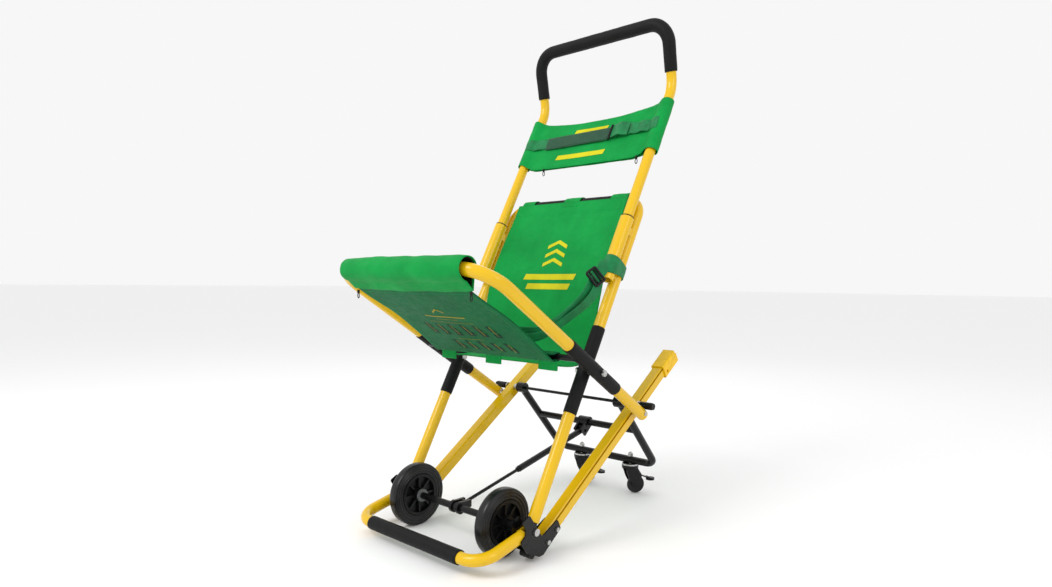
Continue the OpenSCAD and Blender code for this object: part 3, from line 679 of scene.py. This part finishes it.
# ---- Seat sling ----
seat_line = [(-132.0, 569.0), (-124, 560), (-20, 503.5), (60, 448), (104, 415.5)]
for a in np.linspace(215, 450, 18):
    seat_line.append(tuple(REAR_BAR + 9.2 * np.array([math.cos(rad(a)), math.sin(rad(a))])))
seat_line.append((110, 431))
seat_line.append((96, 431))
seat_line = smooth_path(seat_line, 4.0)
seat_rows = len(seat_line)
up = outward(seat_line)
FLAT_END = 0.8  # where the cloth starts to turn round the rear bar
grid = np.zeros((seat_rows, COLUMNS, 3))
for i in range(seat_rows):
    s = min(1, i / (seat_rows - 1) / FLAT_END)
    half = 178 + 10 * s
    for j, x in enumerate(shares):
        sag = 7.0 * (1 - x * x) * math.sin(math.pi * s) if s < 1 else 0.0
        q = seat_line[i] - up[i] * sag
        grid[i, j] = [x * half, q[0], q[1]]
grid[..., 2] += wob(grid, 1.6, 0.016, 12.0)
thick = np.full((seat_rows, COLUMNS), CLOTH)
thick[:, :3] = thick[:, -3:] = 2.8
# The sling is made of the darker cloth: painted shade on its underside.
seat = Sheet("seat_sling", grid, thick, shaded_seat_cloth, "seat_frame")
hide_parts("seat_fabric")
rows = []
for v in (0.014, 0.04, 0.96, 0.986):
    for sd in (1, -1):
        rows.append((seat, [(u, v) for u in np.linspace(0.03, 0.8, 60)], sd))
for u in (0.05, 0.79):
    for sd in (1, -1):
        rows.append((seat, [(u, v) for v in np.linspace(0.01, 0.99, 40)], sd))
stitches("seat_stitching", rows, "seat_frame")
for k, (x0, x1) in enumerate(((132, 186), (-32, 18), (-186, -136))):
    line = resample([REAR_BAR + d for d in ((-6, -9.5), (0, -11.5), (1.5, -20), (1.0, -31))], 3.0)
    grid = np.array([[[x, y, z] for x in np.linspace(x0, x1, 10)] for y, z in line])
    grid[..., 1] += wob(grid, 1.5, 0.05, k * 3.0)
    Sheet(f"seat_tab_{k + 1}", grid, CLOTH, M["green_fabric"], "seat_frame")


def seat_uv(x, share):
    """x across the seat, and the share of the way from the roll to the rear bar."""
    return (0.06 + 0.72 * share, 0.5 + x / 368)


def seat_block(x0, x1, a0, a1):
    return [seat_uv(x0, a0), seat_uv(x1, a0), seat_uv(x1, a1), seat_uv(x0, a1)]


# Plain bars and blocks where the underside carries its printed diagrams.
marks = [seat_block(-62, 66, 0.35, 0.366), seat_block(-34, 34, 0.4, 0.405), seat_block(-70, 70, 0.455, 0.459),
         seat_block(-40, 40, 0.735, 0.739)]
dark = []
for k in range(6):
    x = -104 + 40 * k
    dark += [seat_block(x - 3, x + 4, 0.5, 0.68), seat_block(x + 6, x + 13, 0.52 + 0.02 * (k % 3), 0.6),
             seat_block(x + 6, x + 16, 0.62, 0.68)]
    marks += [seat_block(x + 5, x + 7, 0.51, 0.66)]
for k in range(5):
    x = -70 + 40 * k
    dark += [seat_block(x, x + 9, 0.77, 0.9), seat_block(x + 11, x + 20, 0.84, 0.93)]
    marks += [seat_block(x + 10, x + 12, 0.79, 0.92)]
for x in (-18, 18):
    marks.append([seat_uv(0, 0.23), seat_uv(0, 0.25), seat_uv(x, 0.3), seat_uv(x, 0.28)])
# The yellow marks use the darkened print colour: painted shade under the seat.
prints("seat_print", seat, marks, shaded_ink, 1)
prints("seat_print_dark", seat, dark, dark_ink, 1)

# ---- Seat roll ----
def roll_outline(r):
    """The roll's outline about the front bar, from the seam forward, over the bar and back down."""
    tip = SEAM + (3.0, -5.0)
    seam_angle = math.atan2(SEAM[1] - SEAT_BAR[1], SEAM[0] - SEAT_BAR[0])
    turn = [seam_angle - a for a in np.linspace(0.45, 2 * math.pi - 0.45, 44)]
    arc = [SEAT_BAR + r * np.array([math.cos(t), math.sin(t)]) for t in turn]
    start = [tip + (arc[0] - tip) * k for k in (0, 0.35, 0.7)]
    end = [arc[-1] + (tip - arc[-1]) * k for k in (0.3, 0.65, 1)]
    return np.array(start + arc + end)


def roll_piece(name, r, half, mat, thick):
    """A length of the roll, wider at its middle than at its ends, with soft folds."""
    columns = 64
    line = roll_outline(r)
    grid = np.zeros((len(line), columns, 3))
    for j, x in enumerate(np.linspace(-half, half, columns)):
        end = max(0.0, (abs(x) - 150) / 39)
        k = 1 + 0.02 * math.cos(x * 0.02) - 0.05 * end ** 2
        for i, q in enumerate(line):
            p = SEAT_BAR + (q - SEAT_BAR) * k
            grid[i, j] = [x, p[0], p[1]]
    away = grid[..., 1:] - SEAT_BAR
    away /= np.maximum(np.linalg.norm(away, axis=2), 1e-6)[..., None]
    folds = wob(grid, 1.6, 0.018, 5.0) + wob(grid * [0.4, 1, 1], 1.1, 0.07, 9.0)
    grid[..., 1:] += away * folds[..., None]
    return Sheet(name, grid, thick, mat, "seat_frame")


roll = roll_piece("seat_roll_cover", 25.0, 189, M["green_fabric"], 2.2)
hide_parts("seat_roll")
roll_piece("seat_roll_lining", 22.4, 184, lining, 2.0)
rows = []
for v in (0.02, 0.98):
    rows.append((roll, [(u, v) for u in np.linspace(0.1, 0.9, 50)], 1))
for u in (0.05, 0.95):
    rows.append((roll, [(u, v) for v in np.linspace(0.01, 0.99, 50)], 1))
stitches("seat_roll_stitching", rows, "seat_frame")

# ---- Head support: a flat sleeve of cloth round both handle tubes ----
TURN_R = 15.6  # the sleeve's half circle round a handle tube
FACE_COLUMNS, HEAD_ROWS = 84, 26


def ease(value, start, length):
    t = min(1, max(0, (value - start) / length))
    return t * t * (3 - 2 * t)


def head_top(ax):
    return 1050 + 24 * min(1, ax / 205) ** 2.4


def head_bottom(ax):
    return 914 + 14 * ease(ax, 150, 55)


def head_gap(ax):
    """Half the sleeve's thickness: round the tubes at its ends, nearly flat between them."""
    return 4.2 + 11.0 * ease(ax, 178, 22)


def head_dish(ax):
    """How far the sleeve sinks to the rear between the tubes."""
    return 1.2 * (1 - (ax / HANDLE_X) ** 2)


loop = []  # x, and 1 on the front to -1 on the rear
for side in (1, -1):
    loop += [(side * x, side) for x in np.linspace(-HANDLE_X, HANDLE_X, FACE_COLUMNS)]
    loop += [(side * (HANDLE_X + TURN_R * math.sin(a)), side * math.cos(a))
             for a in np.linspace(0, math.pi, 16)[1:-1]]
loop.append(loop[0])
grid = np.zeros((len(loop), HEAD_ROWS, 3))
for i, (x, f) in enumerate(loop):
    ax = min(abs(x), HANDLE_X)
    low, high = head_bottom(ax), head_top(ax)
    for j, s in enumerate(np.linspace(0, 1, HEAD_ROWS)):
        pinch = 1 - 0.3 * (1 - math.sin(math.pi * s)) if ax < 170 else 1
        front = f * head_gap(ax) * pinch - head_dish(ax)
        p = go(PIVOT, BACK, low + (high - low) * s, OFFSET + front)
        grid[i, j] = [x, p[0], p[1]]
ripple = wob(grid, 1.3, 0.02, 21.0) + wob(grid, 0.5, 0.08, 23.0)
grid += normals(grid, True) * ripple[..., None]
grid[-1] = grid[0]
head = Sheet("head_support_cloth", grid, CLOTH, M["green_fabric"], "handle", closed=True)
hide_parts("head_support")
rows = []
for v in (0.035, 0.965, 0.93):
    for sd in (-1, 1):
        rows.append((head, [(u, v) for u in np.linspace(0.005, 0.995, 170)], sd))
stitches("head_support_stitching", rows, "handle")


def head_block(x0, x1, a0, a1, skew=4.0):
    """A printed bar on the front: x across, a = share of the height."""
    def u(x):
        return (x + HANDLE_X) / (2 * HANDLE_X) * (FACE_COLUMNS - 1) / (len(loop) - 1)
    return [(u(x0), a0), (u(x1), a0), (u(x1 + skew), a1), (u(x0 + skew), a1)]


front_side = 1 if float(head.N[FACE_COLUMNS // 2, HEAD_ROWS // 2] @ FACE) > 0 else -1
bars = [head_block(-92, 62, 0.17, 0.27), head_block(-58, 46, 0.74, 0.83)]
prints("head_support_print", head, bars, ink, front_side)

# The strap across the head support, its hook tape and slider.
def head_front(x, along, lift):
    """A point lifted off the sleeve's front, less so at its ends."""
    ax = min(abs(x), HANDLE_X)
    if abs(x) > 190:
        lift *= max(0.2, 1 - (abs(x) - 190) / 20)
    p = go(PIVOT, BACK, along, OFFSET + head_gap(ax) - head_dish(ax) + lift)
    return [x, p[0], p[1]]


def strap_band(name, x0, x1, low, high, lift, mat, thick=1.5, waves=()):
    """A band across the sleeve's front; waves are its bumps, each a centre, a width and a height."""
    columns = np.linspace(x0, x1, max(8, int(abs(x1 - x0) / 4)))
    grid = np.zeros((len(columns), 8, 3))
    for i, x in enumerate(columns):
        up = lift + sum(h * math.exp(-((x - c) / w) ** 2) for c, w, h in waves)
        for j, along in enumerate(np.linspace(low, high, 8)):
            grid[i, j] = head_front(x, along + 0.018 * x, up)
    grid += normals(grid) * wob(grid, 0.5, 0.05, x0)[..., None]
    return Sheet(name, grid, thick, mat, "handle", slot="green_webbing")


bumps = ((-165, 14, 3.5), (100, 12, 7.0), (132, 9, 5.0), (165, 14, 6.0))
head_strap = strap_band("head_strap_webbing", -208, 208, 981, 1013, 2.8, M["green_webbing"], waves=bumps)
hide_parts("head_strap")
strap_band("head_hook_tape", -138, 66, 976, 1012, 5.8, hook_tape, 2.8)
strap_band("head_strap_fold", 74, 124, 978, 1016, 8.5, M["green_webbing"], waves=((100, 14, 7.0),))
slider = [head_front(70, a, 9.0) for a in np.linspace(974, 1018, 8)]
sweep("head_strap_slider", slider, 3.0, M["black_plastic"], "handle", sides=12, edge=1.0)
rows = []
for v in (0.12, 0.88):
    for sd in (1, -1):
        rows.append((head_strap, [(u, v) for u in np.linspace(0.02, 0.98, 60)], sd))
stitches("head_strap_stitching", rows, "handle", pitch=4.5)

# Zip pulls under the head support and at the roll's end.
def zip_pull(name, top, body):
    t = np.array(top, float)
    slider = [t, t + (0, 0, -4), t + (0, 0, -8)]
    sweep(name + "_slider", slider, 3.0, M["black_plastic"], body, sides=12, edge=1.0)
    ring = [t + (3.0 * math.sin(a), 0, 5.5 * math.cos(a) - 13) for a in np.linspace(0, 2 * math.pi, 24)]
    sweep(name + "_ring", ring, 1.0, M["black_plastic"], body, sides=8, edge=0.3)


zip_pull("zip_pull_right", xyz(-123, go(PIVOT, BACK, 913, OFFSET + 2)) + (0, 0, 2), "handle")
zip_pull("zip_pull_left", xyz(169, go(PIVOT, BACK, 917, OFFSET + 4)), "handle")
zip_pull("seat_zip_pull_right", (-180, SEAM[0] + 4, SEAM[1] - 6), "seat_frame")
zip_pull("seat_zip_pull_left", (181, SEAM[0] + 4, SEAM[1] - 4), "seat_frame")

# ---- Lap strap and its buckle ----
def band(name, centre, turn, body, half=12.0, seed=31.0):
    """Webbing along centre points; turn is the angle of its face at each of them, 0 being square to FACE."""
    line = smooth_path(centre, 5.0)
    angle = np.radians(np.interp(np.linspace(0, 1, len(line)), np.linspace(0, 1, len(turn)), turn))[:, None]
    along = np.gradient(line, axis=0)
    along /= np.linalg.norm(along, axis=1)[:, None]
    wide = np.cross(along, FACE)
    wide /= np.linalg.norm(wide, axis=1)[:, None]
    wide = wide * np.cos(angle) + np.cross(wide, along) * np.sin(angle)
    grid = line[:, None] + wide[:, None] * half * np.linspace(-1, 1, 8)[None, :, None]
    grid += normals(grid) * wob(grid, 0.8, 0.04, seed)[..., None]
    return Sheet(name, grid, CLOTH, M["green_webbing"], body, slot="green_webbing")


# The loop goes round the left upright, then round the handle tube ahead of it.
ring = []
for centre, radius, angles in ((0, 16.4, np.linspace(-90, 90, 12)), (OFFSET, 18.2, np.linspace(90, 270, 14))):
    ring += [(UPRIGHT_X + radius * math.sin(rad(a)), centre - radius * math.cos(rad(a))) for a in angles]
ring.append(ring[0])
ring = resample(ring, 5.0)
grid = np.zeros((len(ring), 9, 3))
for i, (x, ahead) in enumerate(ring):
    # Lower and wider on the side where the strap leaves it.
    near = 0.5 + 0.5 * math.sin(math.atan2(ahead - 17, x - UPRIGHT_X) - 0.5)
    for j, k in enumerate(np.linspace(-1, 1, 9)):
        p = go(PIVOT, BACK, 617 - 5 * near + (14 + 9 * near) * k, ahead)
        grid[i, j] = [x, p[0], p[1]]
grid[-1] = grid[0]
grid += normals(grid, True) * wob(grid, 0.9, 0.05, 2.0)[..., None]
grid[-1] = grid[0]
lap_loop = Sheet("lap_strap_loop", grid, 2.0, M["green_webbing"], "back_frame",
                 slot="green_webbing", closed=True)
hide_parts("lap_strap")
lead = [(205, 265, 629), (205, 255, 619), (204, 243, 607), (201, 231, 596), (199, 227, 590)]
band("lap_strap_lead", lead, (5, 12, 18, 10, 0), "back_frame", half=13.5, seed=11.0)
upper = [(200, 226, 594), (198, 213, 572), (189, 198, 549), (178, 172, 524), (164, 137, 498),
         (150, 100, 480), (125, 45, 480), (100, 10, 486)]
lower = [(203, 234, 590), (209, 227, 572), (205, 217, 555), (191, 200, 531), (174, 170, 506),
         (161, 142, 486), (146, 104, 467), (128, 55, 462)]
lap_upper = band("lap_strap_upper", upper, (20, 45, 52, 50, 48, 40, 20), None)
lap_lower = band("lap_strap_lower", lower, (20, 40, 50, 50, 48, 40, 20), None, seed=47.0)
for strap in (lap_upper, lap_lower):
    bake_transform(strap.ob)

# Ladder buckle: a frame with two bars.
middle = np.array([202.0, 228.0, 596.5]) + FACE * 4.5
wide = ACROSS * 0.62 - UPWARD * 0.78
wide /= np.linalg.norm(wide)
tall = -ACROSS * 0.7 - UPWARD * 0.6 + FACE * 0.3
tall -= wide * tall.dot(wide)
tall /= np.linalg.norm(tall)
corners = [(-18, -13), (18, -13), (18, 13), (-18, 13), (-18, -13)]
line = resample([middle + wide * a + tall * b for a, b in corners], 4)
buckle = sweep("ladder_buckle", line, 3.2, M["black_plastic"], "back_frame",
               sides=12, edge=0.5)
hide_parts("strap_buckle")
for letter, k in (("a", -6), ("b", 5)):
    bar = [middle + wide * a + tall * k - FACE * 5.0 for a in np.linspace(-17, 17, 6)]
    sweep(f"ladder_buckle_bar_{letter}", bar, 2.2, M["black_plastic"], "back_frame", sides=12, edge=0.5)

# ---- Stage ----
FLOOR_HALF = 60.0  # metres
floor_mesh = bpy.data.meshes.new("floor")
corners = [(-FLOOR_HALF, -FLOOR_HALF, 0), (FLOOR_HALF, -FLOOR_HALF, 0),
           (FLOOR_HALF, FLOOR_HALF, 0), (-FLOOR_HALF, FLOOR_HALF, 0)]
floor_mesh.from_pydata(corners, [], [(0, 1, 2, 3)])
floor = bpy.data.objects.new("floor", floor_mesh)
bpy.context.collection.objects.link(floor)
pale = Nodes("pale_floor")
pale.set(Base_Color=(0.93, 0.93, 0.93, 1), Roughness=0.8, Specular_IOR_Level=0.05)
floor_mesh.materials.append(pale.mat)

studio = bpy.data.worlds.new("studio")
bpy.context.scene.world = studio
studio.use_nodes = True
background = studio.node_tree.nodes["Background"]
background.inputs["Color"].default_value = (1, 1, 1, 1)
background.inputs["Strength"].default_value = 0.93


def area(name, place, target, size, power):
    light = bpy.data.lights.new(name, "AREA")
    light.shape = "SQUARE"
    light.size = size
    light.energy = power
    ob = bpy.data.objects.new(name, light)
    ob.location = place
    ob.rotation_euler = (Vector(target) - Vector(place)).to_track_quat("-Z", "Y").to_euler()
    bpy.context.collection.objects.link(ob)


area("key_light", (-0.6, -2.4, 2.6), (0, 0, 0.6), 1.4, 44)
area("side_light", (2.8, -0.4, 2.0), (0, 0, 0.5), 1.2, 12)
area("back_light", (-1.6, 2.4, 2.4), (0, 0, 0.6), 1.6, 8)

cam = bpy.data.cameras.new("camera")
cam.sensor_width = 36
cam.lens = 23.73673
cam.shift_x, cam.shift_y = 0.0148954, 0.0679753
cam.clip_start = 0.01
cam_ob = bpy.data.objects.new("camera", cam)
bpy.context.collection.objects.link(cam_ob)
bpy.context.scene.camera = cam_ob
across = ACROSS * math.cos(CAM_ROLL) + UPWARD * math.sin(CAM_ROLL)
upward = UPWARD * math.cos(CAM_ROLL) - ACROSS * math.sin(CAM_ROLL)
place = Matrix([across.tolist(), upward.tolist(), FACE.tolist()]).transposed().to_4x4()
place.translation = Vector((1.1224, -1.0377 + AXLE_Y / 1000, 0.5817))
cam_ob.matrix_world = place
bpy.context.scene.view_settings.view_transform = "Standard"

bpy.context.view_layer.update()
